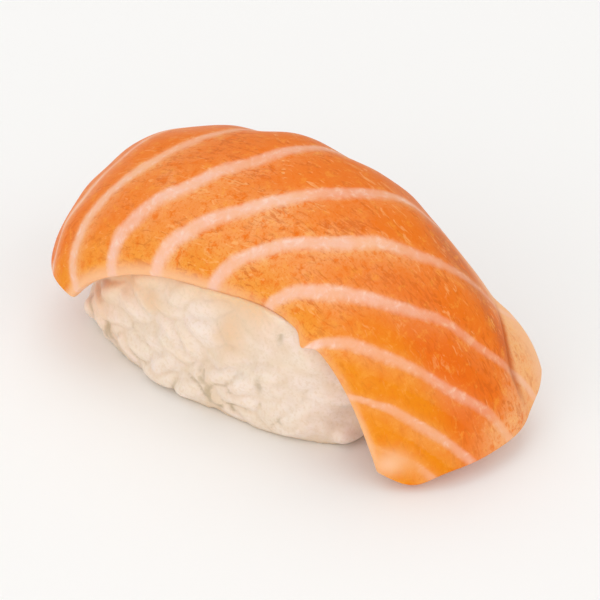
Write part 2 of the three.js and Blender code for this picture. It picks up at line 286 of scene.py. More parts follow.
def grid_faces(rows, columns, start=0, wrap=False):
    """Quads of a grid of rows by columns of points, in the order of the points; with "wrap" the
    last column meets the first."""
    i = np.arange(rows - 1)[:, None]
    j = np.arange(columns if wrap else columns - 1)[None, :]
    after = (j + 1) % columns
    corners = (i * columns + j, (i + 1) * columns + j, (i + 1) * columns + after, i * columns + after)
    return np.stack([np.broadcast_to(c, (rows - 1, j.size)) for c in corners], -1).reshape(-1, 4) + start


def even_grid(rows, columns):
    """Two arrays of rows by columns that run evenly from -1 to 1, down the rows and across."""
    return np.meshgrid(np.linspace(-1, 1, rows), np.linspace(-1, 1, columns), indexing="ij")


def new_mesh_object(name, points, faces):
    """A smooth-shaded mesh object from points in millimetres and a list of faces."""
    mesh = bpy.data.meshes.new(name)
    mesh.from_pydata((points * MM).tolist(), [], [list(map(int, f)) for f in faces])
    mesh.validate()
    mesh.polygons.foreach_set("use_smooth", np.ones(len(mesh.polygons), bool))
    mesh.update()
    obj = bpy.data.objects.new(name, mesh)
    bpy.context.scene.collection.objects.link(obj)
    return obj


def store(mesh, name, values):
    """Keeps one number per vertex on the mesh, for its material."""
    attribute = mesh.attributes.new(name, "FLOAT", "POINT")
    attribute.data.foreach_set("value", np.asarray(values, np.float32).ravel())


def mesh_points(mesh):
    """The mesh's vertices in millimetres, as one array."""
    flat = np.empty(len(mesh.vertices) * 3, np.float32)
    mesh.vertices.foreach_get("co", flat)
    return flat.reshape(-1, 3).astype(float) / MM


# ---- The slice of salmon ----


def sized(name, along):
    """A width or droop of the slice, blended smoothly from the crown to each end."""
    end = np.where(along > 0, END_FACTORS["near"][name], END_FACTORS["far"][name])
    return SLICE[name] * (1 + (end - 1) * smooth(np.clip(np.abs(along), 0, 1)))


def end_length(along):
    """Millimetres from the crown to the end on the side of "along"."""
    return np.where(along > 0, SLICE["near_length"], SLICE["far_length"])


def crown_line(along):
    """x, z and downward turn of the crown line: the running sums of cos(turn) and -sin(turn), with
    turn = droop * share ** bend, and straight on past the end."""
    near = along > 0
    share = np.minimum(1, np.abs(along))
    beyond = np.maximum(0, np.abs(along) - 1)
    droop = np.where(near, SLICE["near_droop"], SLICE["far_droop"]) * DEGREES
    bend = np.where(near, SLICE["near_bend"], SLICE["far_bend"])
    length = end_length(along)
    turn = droop * share**bend
    level = share * mean(lambda t: np.cos(droop * (share * t) ** bend))
    fall = share * mean(lambda t: np.sin(droop * (share * t) ** bend))
    x = np.where(near, 1, -1) * length * (level + beyond * np.cos(turn))
    return x, -length * (fall + beyond * np.sin(turn)), np.where(near, turn, -turn)


def crease_at(along):
    """Where the crease lies across the slice, an arc that is past the edge where there is none."""
    return CREASE["across"] + CREASE["curve"] * (along - CREASE["along"]) ** 2


def crease_strength(along):
    """How deep the crease is along it, fading out before the back edge and the near end."""
    outer = 1 - rise(crease_at(along), CREASE_FADES["outwards"], 1)
    return outer * (1 - rise(along, CREASE_FADES["from_along"], CREASE_FADES["to_along"]))


def back_reach(along):
    """How many times wider the back side is than its named width."""
    longer = 1 + BACK_REACH["extra"] * (1 - rise(along, BACK_REACH["full"], BACK_REACH["ends"]))
    return longer * (1 - WAIST["narrowing"] * hill(along, WAIST["at"], WAIST["spread"]))


def side_width(along, across):
    """Width in millimetres from the crown line to the edge on the side of "across"."""
    back = sized("back_width", along) * back_reach(along)
    return np.where(across < 0, sized("front_width", along), back)


def cross_section(along, across, grooved):
    """Sideways place and drop of the section: the running sums of cos(turn) and sin(turn) from the
    crown line out to the edge, with the steps of the front edge, the groove of the crease and the
    lumps added."""
    front = across < 0
    share = np.abs(across)
    fold = crease_at(along)
    width = side_width(along, across)
    reach = np.where(front, 1, back_reach(along))
    droop = np.where(front, sized("front_droop", along), sized("back_droop", along))
    droop = droop * reach ** SLICE["side_bend"] * DEGREES
    flap_turn = np.where(front, 0, FLAP["turn"] * DEGREES)
    bent = fold - FLAP["before"]

    def turn(u):
        return droop * u ** SLICE["side_bend"] - flap_turn * rise(u, bent, bent + FLAP["width"])

    level = share * mean(lambda t: np.cos(turn(share * t)))
    drop = share * mean(lambda t: np.sin(turn(share * t)))
    edge = sum(by * rise(along, begins, ends) for by, begins, ends in EDGE_STEPS)
    edge = edge + TOOTH["by"] * hill(along, TOOTH["at"], TOOTH["spread"])
    edge = np.where(front, share**EDGE_FADE * edge, 0)
    groove = CREASE["depth"] * crease_strength(along) * hill(across, fold, CREASE["spread"])
    groove = np.where(front, 0, groove) if grooved else 0
    lumps = sum(
        height * hill(along, at_along, long) * hill(across, at_across, wide)
        for height, at_along, long, at_across, wide in LUMPS
    )
    return np.where(front, -1, 1) * (width * level + edge), width * drop + edge + groove - lumps


def top_face(along, across, grooved=True):
    """Points of the slice's top face: the section set square to the crown line, moved aside by the
    sway towards the near end, leaned by the roll and turned by the yaw."""
    x, z, turn = crown_line(along)
    y, drop = cross_section(along, across, grooved)
    side = y + SLICE["sway"] * smooth(np.clip(along, 0, 1))
    roll, yaw = SLICE["roll"] * DEGREES, SLICE["yaw"] * DEGREES
    leaned = side * math.cos(roll) + drop * math.sin(roll)
    out = side * math.sin(roll) - drop * math.cos(roll)
    px, pz = x + out * np.sin(turn), z + out * np.cos(turn)
    turned = (px * math.cos(yaw) - leaned * math.sin(yaw), px * math.sin(yaw) + leaned * math.cos(yaw), pz)
    return np.stack(turned, -1) + np.array(SLICE["crown"])


def top_normal(along, across):
    """Direction straight out of the ungrooved top face, from the cross product of its slopes."""
    step = 0.004
    a = top_face(along + step, across, False) - top_face(along - step, across, False)
    b = top_face(along, across + step, False) - top_face(along, across - step, False)
    normal = np.cross(a, b)
    return normal / np.linalg.norm(normal, axis=-1, keepdims=True)


def end_reach(v, near):
    """How far along the ends reach at a place across: rounded off by the cube of the distance from
    the crown line, with the tongue at the near end."""
    reach = 1 - END_ROUNDING * np.abs(v) ** 3
    return np.where(near, reach + TONGUE["length"] * hill(v, TONGUE["at"], TONGUE["spread"]), reach)


def taper(u, v):
    """1 in the middle of the slice, down to 0 at its rim: the root of (1 - u ** end taper) times
    (1 - v ** side taper)."""
    return np.sqrt(np.maximum(0, (1 - u ** SLICE["end_taper"]) * (1 - v ** SLICE["side_taper"])))


def slice_thickness(u, v):
    """Thickness of the slice, from its middle's to its rim's."""
    return SLICE["rim_thickness"] + (SLICE["thickness"] - SLICE["rim_thickness"]) * taper(u, v)


def rim_spaced(count, rim_share):
    """Places from -1 to 1: even in the middle, and close together in a quarter turn at each rim."""
    quarter = np.linspace(0, math.pi / 2, RIM_ROWS + 1)[:-1]
    rim = rim_share * (1 - np.cos(quarter))
    middle = np.linspace(-1 + rim_share, 1 - rim_share, count)
    return np.concatenate([-1 + rim, middle, (1 - rim)[::-1]])


def line_phase(along, across):
    """Counts the fat lines along the slice: a whole number on each line. The line that passes a
    point starts at along - slant * (sqrt(w * w + s * s) - s) plus a turn at the back, with w the
    way in from the front edge; slant and s change with the start, so it is found in a few rounds."""
    way = np.maximum(0, across + 1)
    turned = LINE_BACK_TURN["amount"] * rise(across, LINE_BACK_TURN["begins"], LINE_BACK_TURN["ends"])
    turned = turned - sum(far * hill(across, at, spread) for far, at, spread in LINE_WAVES)
    start = along - 0.5 * way
    for _ in range(8):
        slant = np.interp(start, LINE_SHAPE["starts"], LINE_SHAPE["slant"])
        straight = np.interp(start, LINE_SHAPE["starts"], LINE_SHAPE["straight"])
        start = along - slant * (np.sqrt(way**2 + straight**2) - straight) + turned
    return np.interp(start, LINE_STARTS, np.arange(len(LINE_STARTS)))


def band_widths(phase, place_mm):
    """Millimetres from one fat line to the next at each point: 1 over the slope of the phase, and
    50 at most."""
    slopes = [
        np.gradient(phase, axis=i) / (np.linalg.norm(np.gradient(place_mm, axis=i), axis=-1) + 1e-6)
        for i in (0, 1)
    ]
    return 1 / np.maximum(0.02, np.hypot(*slopes))


def flesh_places(u, along, across):
    """What the relief and the masks of the flesh are worked out from, as arrays: the place on the
    slice, the count of the fat lines, the way past the crease and in from each rim, all three in
    millimetres, and how far each point is on the near side, the top, the creased corner and the
    flap."""
    half_width = side_width(along, across)
    phase = line_phase(along, across)
    past_fold = (across - crease_at(along)) * half_width
    creased = rise(along, *CREASED)
    return SimpleNamespace(
        along=along,
        across=across,
        mm=np.stack([along * end_length(u), across * half_width], -1),
        phase=phase,
        between=np.sin(math.pi * (phase - np.floor(phase))),
        from_end=(1 - np.abs(u)) * end_length(u),
        from_side=(1 - np.abs(across)) * half_width,
        from_front=(1 + across) * half_width,
        from_back=(1 - across) * half_width,
        past_fold=past_fold,
        near_side=rise(along, *NEAR_SIDE),
        top=hill(along, *TOP),
        creased=creased,
        flap=creased * rise(past_fold, 0.1, 0.9) * (1 - rise(along, 0.9, 1)),
    )


def slice_surface(settings):
    """The slice as two grids of the same points, over and under, that meet at the rim's middle.
    The rim is a quarter circle above and nearly square below, where the slice lies on the rice.
    The bands between the fat lines swell a little, as a power of the half sine of their phase,
    and less near the rim. With it come the place on the slice in millimetres and the masks of the
    material."""
    rim = SLICE["rim_thickness"] / 2
    usual_length, usual_width = RIM_SPACED_FOR
    down = rim_spaced(settings.rows, rim / usual_length)
    sideways = rim_spaced(settings.columns, rim / usual_width)
    u, v = np.meshgrid(down, sideways, indexing="ij")
    along = u * end_reach(v, u > 0)
    here = flesh_places(u, along, v)
    end_way = np.maximum(0, rim - here.from_end) / rim
    side_way = np.maximum(0, rim - here.from_side) / rim
    round_rim = rim * np.sqrt(np.maximum(0, (1 - end_way**2) * (1 - side_way**2)))
    power = SLICE["rim_squareness"]
    square_rim = rim * np.sqrt(np.maximum(0, (1 - end_way**power) * (1 - side_way**power)))
    thick = taper(u, v)
    inner = (SLICE["thickness"] - 2 * rim) * thick
    swell = settings.band_swell / MM * (here.between**SWELL_FULLNESS - 1)
    soft = UNEVEN_HEIGHT * uneven(here.mm, *PATTERNS["relief"])
    relief = (swell + soft) * rise(thick, 0.1, 0.6)
    normal = top_normal(along, v)
    top = top_face(along, v) + normal * (round_rim - rim + relief)[..., None]
    under = top_face(along, v, False) - normal * (rim + square_rim + inner)[..., None]
    masks = {
        **line_masks(here, settings.line_width / MM),
        **front_masks(here),
        **back_masks(here),
        **edge_masks(here),
    }
    return top, under, here.mm, masks


def line_masks(here, line_width):
    """Masks of the fat lines. "line" is the distance from the nearest one over half its width, in
    which the side towards the near end counts less, so that a line fades out there. Its strength
    is less on the back and the near side. The sheen is painted light: a pale peach highlight
    close beside a line, wider on the near end's side of it, and a pale patch of it in the middle
    of the front."""
    across = here.across
    number = np.round(here.phase)
    signed = (here.phase - number) * band_widths(here.phase, here.mm)
    thinner = 1 - 0.22 * rise(across, -0.2, 0.6) - 0.15 * rise(across, 0.6, 0.9)
    varied = 1 + 0.08 * np.sin(1.7 * number + 0.4)
    half_line = line_width / 2 * thinner * varied * (1 - 0.4 * here.near_side)
    strength = 0.68 - 0.22 * rise(across, -0.22, 0.1) - 0.08 * rise(across, 0.3, 0.6)
    strength = strength * (1 + 0.12 * uneven(here.mm, *PATTERNS["line"])) * (1 - 0.4 * here.near_side)
    strength = strength * np.where(number < FAINT_LINES_BELOW, 0.74, 1)
    behind_front = 1 - 0.9 * (1 - rise(across, -0.74, -0.6))
    strength = strength * np.where(number > SHORT_LINES_ABOVE, behind_front, 1)
    fade_width = np.where(signed > 0, 2.3, 0.9)
    # Painted sheen: pale colour beside each fat line that stands in for soft reflected light
    sheen = np.exp(-((signed / fade_width) ** 2)) * (0.8 - 0.5 * here.near_side)
    sheen = sheen * np.clip(0.9 + 0.3 * uneven(here.mm, *PATTERNS["sheen"]), 0.3, 1.2)
    # A patch of painted sheen in the middle of the front
    front_sheen = 0.25 * hill(here.along, 0, 0.38) * hill(across, -0.6, 0.3)
    return {
        "line": np.maximum(-signed, 0.62 * signed) / half_line,
        "line_strength": strength + 0.2 * here.flap,
        "sheen": np.maximum(sheen * (1 - 0.5 * rise(across, -0.1, 0.3)), front_sheen),
    }


def front_masks(here):
    """Masks of the front's colours: gold towards the front edge, deeper orange behind it and off
    the top, which leaves the top paler as a painted sheen of light from above, pools of gold
    behind the edge of each band and on the near side, redder flesh in the near side's bands,
    and the same red as painted shade before the crease."""
    across, near_side = here.across, here.near_side
    patchy = np.clip(0.7 + 0.5 * uneven(here.mm, *PATTERNS["pool"]), 0, 1)
    behind_edge = here.between**1.5 * hill(across, -0.83, 0.13) * patchy
    near_pool = near_side * rise(-across, 0.25, 0.5) * (1 - rise(-across, 0.88, 1))
    red = near_side * rise(across, -0.85, -0.5) * (1 - rise(across, -0.1, 0.4))
    red = red * 0.65 * rise(here.from_end, 2, 7)
    # Painted shade: the flesh just before the crease is painted redder
    shade_before_crease = 0.7 * here.creased * hill(here.past_fold, -1.6, 1.2) * crease_strength(here.along)
    # Deeper orange off the top leaves the top paler: a painted sheen of light from above
    outside_top_sheen = 0.95 * (1 - here.top) * rise(across, -0.95, -0.5)
    return {
        "gold": rise(-across, 0.5, 0.95) * 0.85,
        "deep": np.maximum(0.85 * rise(across, -0.4, 0.2), outside_top_sheen),
        "pool": 0.9 * np.maximum(near_pool, behind_edge),
        "red": np.maximum(red, shade_before_crease),
    }


def back_masks(here):
    """Masks of the back's colours: its duller orange, a strip of painted shade along it, the flap,
    painted shade in the crease, and how fibrous the muscle looks, which is less on the near side
    and more on the top, by the crease and before it."""
    along, across, near_side = here.along, here.across, here.near_side
    further = rise(along, 0.55, 0.7)
    # A strip of painted shade along the back
    strip = hill(across, 0.62 - 0.1 * further, 0.13 - 0.05 * further)
    strip = strip * rise(along, 0.3, 0.42) * (1 - rise(along, 0.8, 0.88))
    smooth_flesh = near_side * (1 - rise(across, -0.1, 0.3))
    rough_flesh = near_side * hill(across, 0.1, 0.35) * (1 - here.flap)
    rough_flesh = np.maximum(here.creased * hill(here.past_fold, -4, 3), rough_flesh)
    return {
        "back": rise(across, 0.33, 0.74) * 0.8,
        "strip": 0.42 * strip,
        "flap": here.flap,
        # Painted shade in the crease, over its groove
        "crease": here.creased * crease_strength(along) * hill(here.past_fold, 0, 0.55) * 0.6,
        "fibrous": (1 - 0.35 * smooth_flesh) * (0.58 + 0.62 * here.top) + 0.5 * rough_flesh,
    }


def edge_masks(here):
    """Masks of the pale glassy rims: the front's cut edge, paler away from the middle, its corner
    at the near end, the back edge beside the near side, and the back of the near end."""
    along, across = here.along, here.across
    cut_edge = 1 - rise(here.from_front, 0.3, 1.9 - 0.8 * rise(along, 0.5, 0.7))
    pale_cut = 0.34 + 0.56 * (1 - rise(along, -0.15, 0.15)) + 0.4 * rise(along, 0.6, 0.72)
    corner = hill(along, 0.9, 0.045) * hill(across, -0.9, 0.13)
    back_rim = rise(along, 0.2, 0.45) * (0.6 + 0.4 * here.creased) * (1 - rise(here.from_back, 0.8, 4))
    end_edge = 1 - rise(here.from_end, 1.5, 6 + 5 * rise(across, 0.1, 0.4))
    return {
        "cut_edge": np.maximum(cut_edge * pale_cut, np.maximum(corner, 0.85 * back_rim)),
        "end_edge": end_edge * rise(across, -0.35, 0.1) * (along > 0) * 0.85,
    }


def closed_slice(over, under):
    """Points and faces of the skin of two grids of points that share their outermost ones, and
    which points of the lower grid it keeps."""
    rows, columns = over.shape[:2]
    inner = np.zeros((rows, columns), bool)
    inner[1:-1, 1:-1] = True
    below = np.arange(rows * columns).reshape(rows, columns)
    below[inner] = rows * columns + np.arange(inner.sum())
    upper = grid_faces(rows, columns)
    lower = below.ravel()[upper][:, ::-1]
    points = np.concatenate([over.reshape(-1, 3), under[inner]])
    return points, np.concatenate([upper, lower]), inner


# ---- The rice ----


def seeded_random(seed):
    """Random numbers in 0 to 1 that are the same on every run, from shifts and products of whole
    numbers of 32 bits."""
    state = seed
    largest = 0xFFFFFFFF
    step = 0x6D2B79F5

    def draw():
        nonlocal state
        state = (state + step) & largest
        mixed = ((state ^ (state >> 15)) * (1 | state)) & largest
        mixed = ((mixed + (((mixed ^ (mixed >> 7)) * (61 | mixed)) & largest)) & largest) ^ mixed
        return (mixed ^ (mixed >> 14)) / (largest + 1)

    return draw


def core_point(angle, level, fill=0):
    """Points of the rice's core, swollen by "fill" millimetres. In plan the radius is
    (|cos| ** corner + |sin| ** corner) ** (-1 / corner) of the angle. In side view the radius is
    the cosine and the height the sine of the level's quarter turn, both to the power
    2 / shoulder. Below level 0 the foot is drawn in by the square of the level. Sine waves of the
    angle and the height go round it."""
    angle, level = np.broadcast_arrays(np.asarray(angle, float), np.asarray(level, float))
    power = 2 / RICE["shoulder"]
    foot = level < 0
    lean = np.where(foot, 1 - RICE["foot_tuck"] * level**2, np.maximum(0, np.cos(level * math.pi / 2)))
    spread = np.where(foot, lean, lean**power)
    climb = np.sin(np.clip(level, 0, 1) * math.pi / 2) ** power
    z = RICE["foot_height"] * np.minimum(1, 1 + level) + (RICE["height"] - RICE["foot_height"]) * climb
    corner = RICE["corner"]
    radius = (np.abs(np.cos(angle)) ** corner + np.abs(np.sin(angle)) ** corner) ** (-1 / corner) * spread
    bump = RICE["bumps"] * sum(np.sin(r * angle + up * z + shift) for r, up, shift in BUMP_WAVES)
    swell = 1 + bump * spread / RICE["half_length"]
    x = RICE["centre"][0] + (RICE["half_length"] + fill) * radius * np.cos(angle) * swell
    y = RICE["centre"][1] + (RICE["half_width"] + fill) * radius * np.sin(angle) * swell
    return np.stack([x, y, z], -1)


def level_at(z):
    """Level of the core's surface at a height."""
    if z < RICE["foot_height"]:
        return z / RICE["foot_height"] - 1
    climb = min(1, (z - RICE["foot_height"]) / (RICE["height"] - RICE["foot_height"]))
    return math.asin(climb ** (RICE["shoulder"] / 2)) * 2 / math.pi


def grain_places(rim_steps=41, turn_steps=720):
    """Angle, height, tilt and size of every grain: rows round the sides, evenly spaced with some
    play, without the grains that the slice covers. The spacing is walked round the core's outline
    in small steps."""
    random = seeded_random(ROWS["seed"])
    t = np.linspace(-1, 1, rim_steps)
    one = np.ones_like(t)
    rim = np.concatenate([top_face(t, -one), top_face(t, one), top_face(-one, t), top_face(one, t)])
    angles = np.arange(turn_steps + 1) / turn_steps * 2 * math.pi
    outline = core_point(angles, 0.0)
    walked = np.concatenate([[0], np.linalg.norm(np.diff(outline, axis=0), axis=1).cumsum()])
    places = []
    for z in np.arange(ROWS["lowest"], ROWS["highest"], ROWS["apart"]):
        row = round((z - ROWS["lowest"]) / ROWS["apart"])
        raised = max(0, z - RICE["foot_height"]) / RICE["height"]
        count = math.floor(walked[-1] * (1 - ROWS["narrowing"] * raised**2) / ROWS["spacing"] + 0.5)
        for n in range(count):
            share = (n + (row % 2) / 2 + ROWS["play"] * random()) / count
            angle = angles[np.argmax(walked >= (share % 1) * walked[-1])]
            height = z + (random() - 0.5) * ROWS["play"] * ROWS["apart"]
            tilt = (random() * 2 - 1) * GRAIN["tilt"] * DEGREES
            size = 1 + (random() * 2 - 1) * GRAIN["size_spread"]
            spot = core_point(angle, level_at(height))
            nearest = rim[np.argmin(np.hypot(rim[:, 0] - spot[0], rim[:, 1] - spot[1]))]
            if height <= nearest[2] + ROWS["cover_depth"]:
                places.append((angle, height, tilt, size))
    return places


def grain_shape(around=14, lengthwise=12, tip=0.02):
    """Rings of one cooked grain along X, for t from 0 to half a turn: each is at -cos(t) of the
    half length, with sin(t) to the end power of the half width as its radius, and the last ones
    keep a small radius."""
    t = np.linspace(0, math.pi, lengthwise)[:, None]
    a = np.linspace(0, 2 * math.pi, around, endpoint=False)[None, :]
    radius = np.maximum(tip, np.sin(t)) ** GRAIN["end_power"] * GRAIN["width"] / 2
    x = -np.cos(t) * GRAIN["length"] / 2 * np.ones_like(a)
    return np.stack([x, radius * np.cos(a), radius * np.sin(a)], -1)


def placed_grain(shape, angle, height, tilt, size, turn=0.01, climb=0.1):
    """A grain laid on the core: its length tilted from level, its middle sunk a little, and lifted
    where it would dip under the board. Small steps, a turn and a climb, give the core's slopes."""
    level = level_at(height)
    point = core_point(angle, level)
    aside = unit(core_point(angle + turn, level) - point)
    up = unit(core_point(angle, level_at(height + climb)) - point)
    outward = unit(np.cross(aside, up))
    axis = aside * math.cos(tilt) + np.cross(outward, aside) * math.sin(tilt)
    reach_down = abs(axis[2]) * 0.5 * GRAIN["length"] + GRAIN["foot"] * GRAIN["width"]
    sunk = GRAIN["sunk"] + GRAIN["near_sunk"] * rise(math.cos(angle), *NEAR_END)
    point = point - outward * sunk * GRAIN["width"]
    point[2] = max(point[2], reach_down * size)
    basis = np.stack([axis, np.cross(outward, axis), outward]) * size
    return shape @ basis + point


def rice_grains():
    """The rings of every grain, in its place."""
    shape = grain_shape()
    return [placed_grain(shape, *place) for place in grain_places()]


def core_surface(fill, around=120, foot=6, dome=60):
    """Rings of the core's skin from the board to the top, swollen by about "fill" where it is high
    and by a third of it at the foot, where the grains stand out more."""
    levels = np.concatenate([np.linspace(-1, 0, foot + 1)[:-1], np.linspace(0, 1, dome + 1)[:-1]])
    angles = np.linspace(0, 2 * math.pi, around, endpoint=False)
    swollen = fill * (0.35 + 0.75 * rise(levels, 0.02, 0.35))
    return core_point(angles[None, :], levels[:, None], swollen[:, None])


def tube_faces(rows, around, start):
    """Faces of a closed tube of rings: quads between the rings, one face over each end."""
    quads = grid_faces(rows, around, start, wrap=True)[:, ::-1].tolist()
    first = list(range(start, start + around))
    last = list(range(start + (rows - 1) * around, start + rows * around))
    return quads + [first[::-1], last]


def joined_tubes(tubes):
    """Points and faces of several closed tubes of rings, as one mesh."""
    faces = []
    count = 0
    for rings in tubes:
        rows, around, _ = rings.shape
        faces += tube_faces(rows, around, count)
        count += rows * around
    return np.concatenate([rings.reshape(-1, 3) for rings in tubes]), faces


def slice_room(rows=60, columns=30):
    """Points and faces of the room that the slice takes out of the rice: from a little inside its
    underside to well above it, and a little inside its rim, so that rice and slice overlap."""
    u, v = even_grid(rows, columns)
    half_width = np.where(v > 0, SLICE["back_width"], SLICE["front_width"])
    across = v * (1 - OVERLAP / half_width)
    along = u * (end_reach(v, u > 0) - OVERLAP / end_length(u))
    normal = top_normal(along, across)
    top = top_face(along, across) + normal * ROOM_HEIGHT
    under = top_face(along, across, False) - normal * (slice_thickness(u, v) - OVERLAP)[..., None]
    flat = grid_faces(rows, columns)
    below = flat[:, ::-1] + rows * columns
    at = np.arange(rows * columns).reshape(rows, columns)
    rim = np.concatenate([at[:-1, 0], at[-1, :-1], at[:0:-1, -1], at[0, :0:-1]])
    after = np.roll(rim, -1)
    walls = np.stack([after, rim, rim + rows * columns, after + rows * columns], -1)
    points = np.concatenate([top.reshape(-1, 3), under.reshape(-1, 3)])
    return points, np.concatenate([flat, below, walls])


def add_modifier(obj, name, kind, **settings):
    """Adds a modifier and sets its properties."""
    modifier = obj.modifiers.new(name, kind)
    for key, value in settings.items():
        setattr(modifier, key, value)


def fused_rice(obj, settings):
    """Fuses the core and its grains into one skin, takes the slice's room out of it, softens it,
    and gives the object the finished mesh."""
    room = new_mesh_object("slice_room", *slice_room())
    add_modifier(obj, "fuse", "REMESH", mode="VOXEL", voxel_size=settings.fusing)
    add_modifier(obj, "cut", "BOOLEAN", operation="DIFFERENCE", solver="MANIFOLD", object=room)
    add_modifier(obj, "fuse again", "REMESH", mode="VOXEL", voxel_size=settings.fusing)
    add_modifier(obj, "soften", "SMOOTH", factor=0.5, iterations=settings.softening)
    graph = bpy.context.evaluated_depsgraph_get()
    finished = bpy.data.meshes.new_from_object(obj.evaluated_get(graph))
    old = obj.data
    obj.modifiers.clear()
    obj.data = finished
    bpy.data.meshes.remove(old)
    bpy.data.objects.remove(room)
    return finished


def grain_field(points, grains):
    """For each point the distance to the nearest grain's axis and to the second nearest, and the
    number of the nearest. An axis is the middle part of the line between a grain's tips."""
    nearest = np.full(len(points), np.inf)
    second = np.full(len(points), np.inf)
    owner = np.zeros(len(points), int)
    for number, grain in enumerate(grains):
        first, last = grain[0].mean(0), grain[-1].mean(0)
        line = last - first
        share = np.clip((points - first) @ line / (line @ line), 0.2, 0.8)
        away = np.linalg.norm(points - first - share[:, None] * line, axis=1)
        owner[away < nearest] = number
        second = np.minimum(second, np.maximum(away, nearest))
        nearest = np.minimum(nearest, away)
    return nearest, second, owner


def slice_distance(points, chunk=4000):
    """Millimetres from each point to the slice's rim and underside, from a coarse grid of it: the
    root of p * p + q * q - 2 p * q, least over its points q."""
    u, v = even_grid(90, 40)
    along = u * end_reach(v, u > 0)
    under = top_face(along, v) - top_normal(along, v) * slice_thickness(u, v)[..., None]
    under = under.reshape(-1, 3)
    squares = (under**2).sum(1)
    parts = [points[i : i + chunk] for i in range(0, len(points), chunk)]
    found = [(p**2).sum(1) + (squares[None, :] - 2 * p @ under.T).min(1) for p in parts]
    return np.sqrt(np.maximum(0, np.concatenate(found)))


def seam(field, width):
    """1 in the seam between two grains, where both are as near, down to 0 at "width"."""
    nearest, second, _ = field
    return 1 - rise(second - nearest, 0, width)


def open_seam(points, field):
    """How open the seams are, from 0 to 1: not at all against the slice, and less in the smoothly
    pressed rice towards the near end."""
    clear = rise(slice_distance(points), 0.3, 1.5)
    return seam(field, SEAM_WIDTH) * clear * (1 - 0.75 * rise(points[:, 0], 3, 10))


def spots(points, places):
    """Soft spots on the front of the rice, each the product of a bell curve along and one up."""
    x, z = points[:, 0], points[:, 2]
    front = points[:, 1] < RICE["centre"][1]
    return front * sum(hill(x, at, long) * hill(z, up, high) for at, up, long, high in places)


def draw_in(mesh, points, depth):
    """Moves the points of a mesh, and their array, inwards by a depth for each in millimetres,
    and never below the board."""
    outward = np.empty(points.size, np.float32)
    mesh.vertices.foreach_get("normal", outward)
    points -= depth[:, None] * outward.reshape(-1, 3)
    points[:, 2] = np.maximum(points[:, 2], 0)
    mesh.vertices.foreach_set("co", (points * MM).astype(np.float32).ravel())
    mesh.polygons.foreach_set("use_smooth", np.ones(len(mesh.polygons), bool))
    mesh.update()


def rice_masks(points, field, count):
    """Where each colour of the rice lies, as numbers of 0 to 1. A point is in a gap when it lies
    far from the nearest grain's axis for the grain's half width, or in the seam between two
    grains, and gaps, seams and creases get painted shade, which in seams and creases is darker
    low down, less so at the near end. Rice near the slice gets a painted warm reflection of the
    salmon, the foot a painted contact shadow, some grains are pearly, and spots on the front get
    painted shade and painted light."""
    nearest, _, owner = field
    x, z = points[:, 0], points[:, 2]
    gap = rise(nearest / (GRAIN["width"] / 2), 0.95, 1.5)
    # Painted shade in the creases between grains, in patches
    crease = seam(field, CREASE_WIDTH) * rise(uneven(points, *PATTERNS["rice_crease"]), -0.2, 0.5)
    pearly = rise(np.random.default_rng(PEARL_SEED).uniform(0, 1, count)[owner], 0.4, 0.9)
    low = (1 - rise(z, 3, 9)) * (1 - 0.5 * rise(x, 8, 14))
    patchy = np.clip(0.7 + 0.35 * uneven(points, *PATTERNS["rice_tint"]), 0, 1)
    # Painted warm reflection of the salmon on the rice near it
    salmon_reflection = 1.25 * np.exp(-slice_distance(points) / 4.5) * (1 - 0.8 * rise(x, 6, 12))
    # Spots of painted shade
    shade_spots = np.minimum(1, spots(points, PAINTED_SHADE_SPOTS))
    # Spots of painted light: highlights on lobes, and the last against the shade under the slice's near end
    light = np.minimum(1, spots(points, PAINTED_LIGHT_SPOTS))
    # Painted shade in the seams, darker low down
    seam_shade = seam(field, SEAM_WIDTH) * (0.11 + 0.33 * low)
    return {
        # Pearly grains, and the spots of painted light
        "pearl_and_painted_light": np.maximum(pearly * (1 - gap) * 0.5, 0.85 * light) * (1 - 0.8 * shade_spots),
        # Painted shade in the gaps, the seams and the spots of shade
        "gap": np.maximum(0.6 * shade_spots, np.maximum(0.4 * gap, seam_shade)),
        # Painted shade in the creases, darker low down, and in the clefts
        "crease": np.maximum(crease * (0.07 + 0.43 * low), 0.42 * spots(points, CLEFTS)),
        # Painted reflection of the salmon, and painted shade in the spots of shade
        "near_slice": np.maximum(salmon_reflection * patchy, 0.6 * shade_spots),
        # Painted contact shadow at the foot, by the board
        "foot": (1 - rise(z, 0.2, 0.9)) * 0.8,
    }


# ---- Materials ----

SALMON_MASKS = (
    "line",
    "line_strength",
    "sheen",
    "gold",
    "deep",
    "pool",
    "red",
    "back",
    "strip",
    "flap",
    "crease",
    "cut_edge",
    "end_edge",
    "fibrous",
)
RICE_MASKS = ("pearl_and_painted_light", "gap", "crease", "near_slice", "foot")


def add_node(tree, kind, settings=None, links=None):
    """Adds a node, sets its properties (plain names) and sockets (by name or number), and links
    other nodes' outputs into it."""
    node = tree.nodes.new(kind)
    for key, value in (settings or {}).items():
        if isinstance(key, str) and hasattr(node, key):
            setattr(node, key, value)
        else:
            node.inputs[key].default_value = value
    for key, output in (links or {}).items():
        tree.links.new(output, node.inputs[key])
    return node


def new_material(name):
    """A new material without nodes, and its node tree."""
    material = bpy.data.materials.new(name)
    material.use_nodes = True
    material.node_tree.nodes.clear()
    return material, material.node_tree


def rgba(colour):
    """A colour without transparency."""
    return (*colour, 1.0)


def layered(tree, ground, layers):
    """A colour built up in coats: each layer's colour over the ones before, where its mask is."""
    # The mix node's sockets for two colours and its result, among those for its other kinds
    under, over, result = 6, 7, 2
    for mask, colour in layers:
        settings = {"data_type": "RGBA", over: rgba(colour)}
        links = {0: mask}
        if isinstance(ground, bpy.types.NodeSocket):
            links[under] = ground
        else:
            settings[under] = rgba(ground)
        ground = add_node(tree, "ShaderNodeMix", settings, links).outputs[result]
    return ground


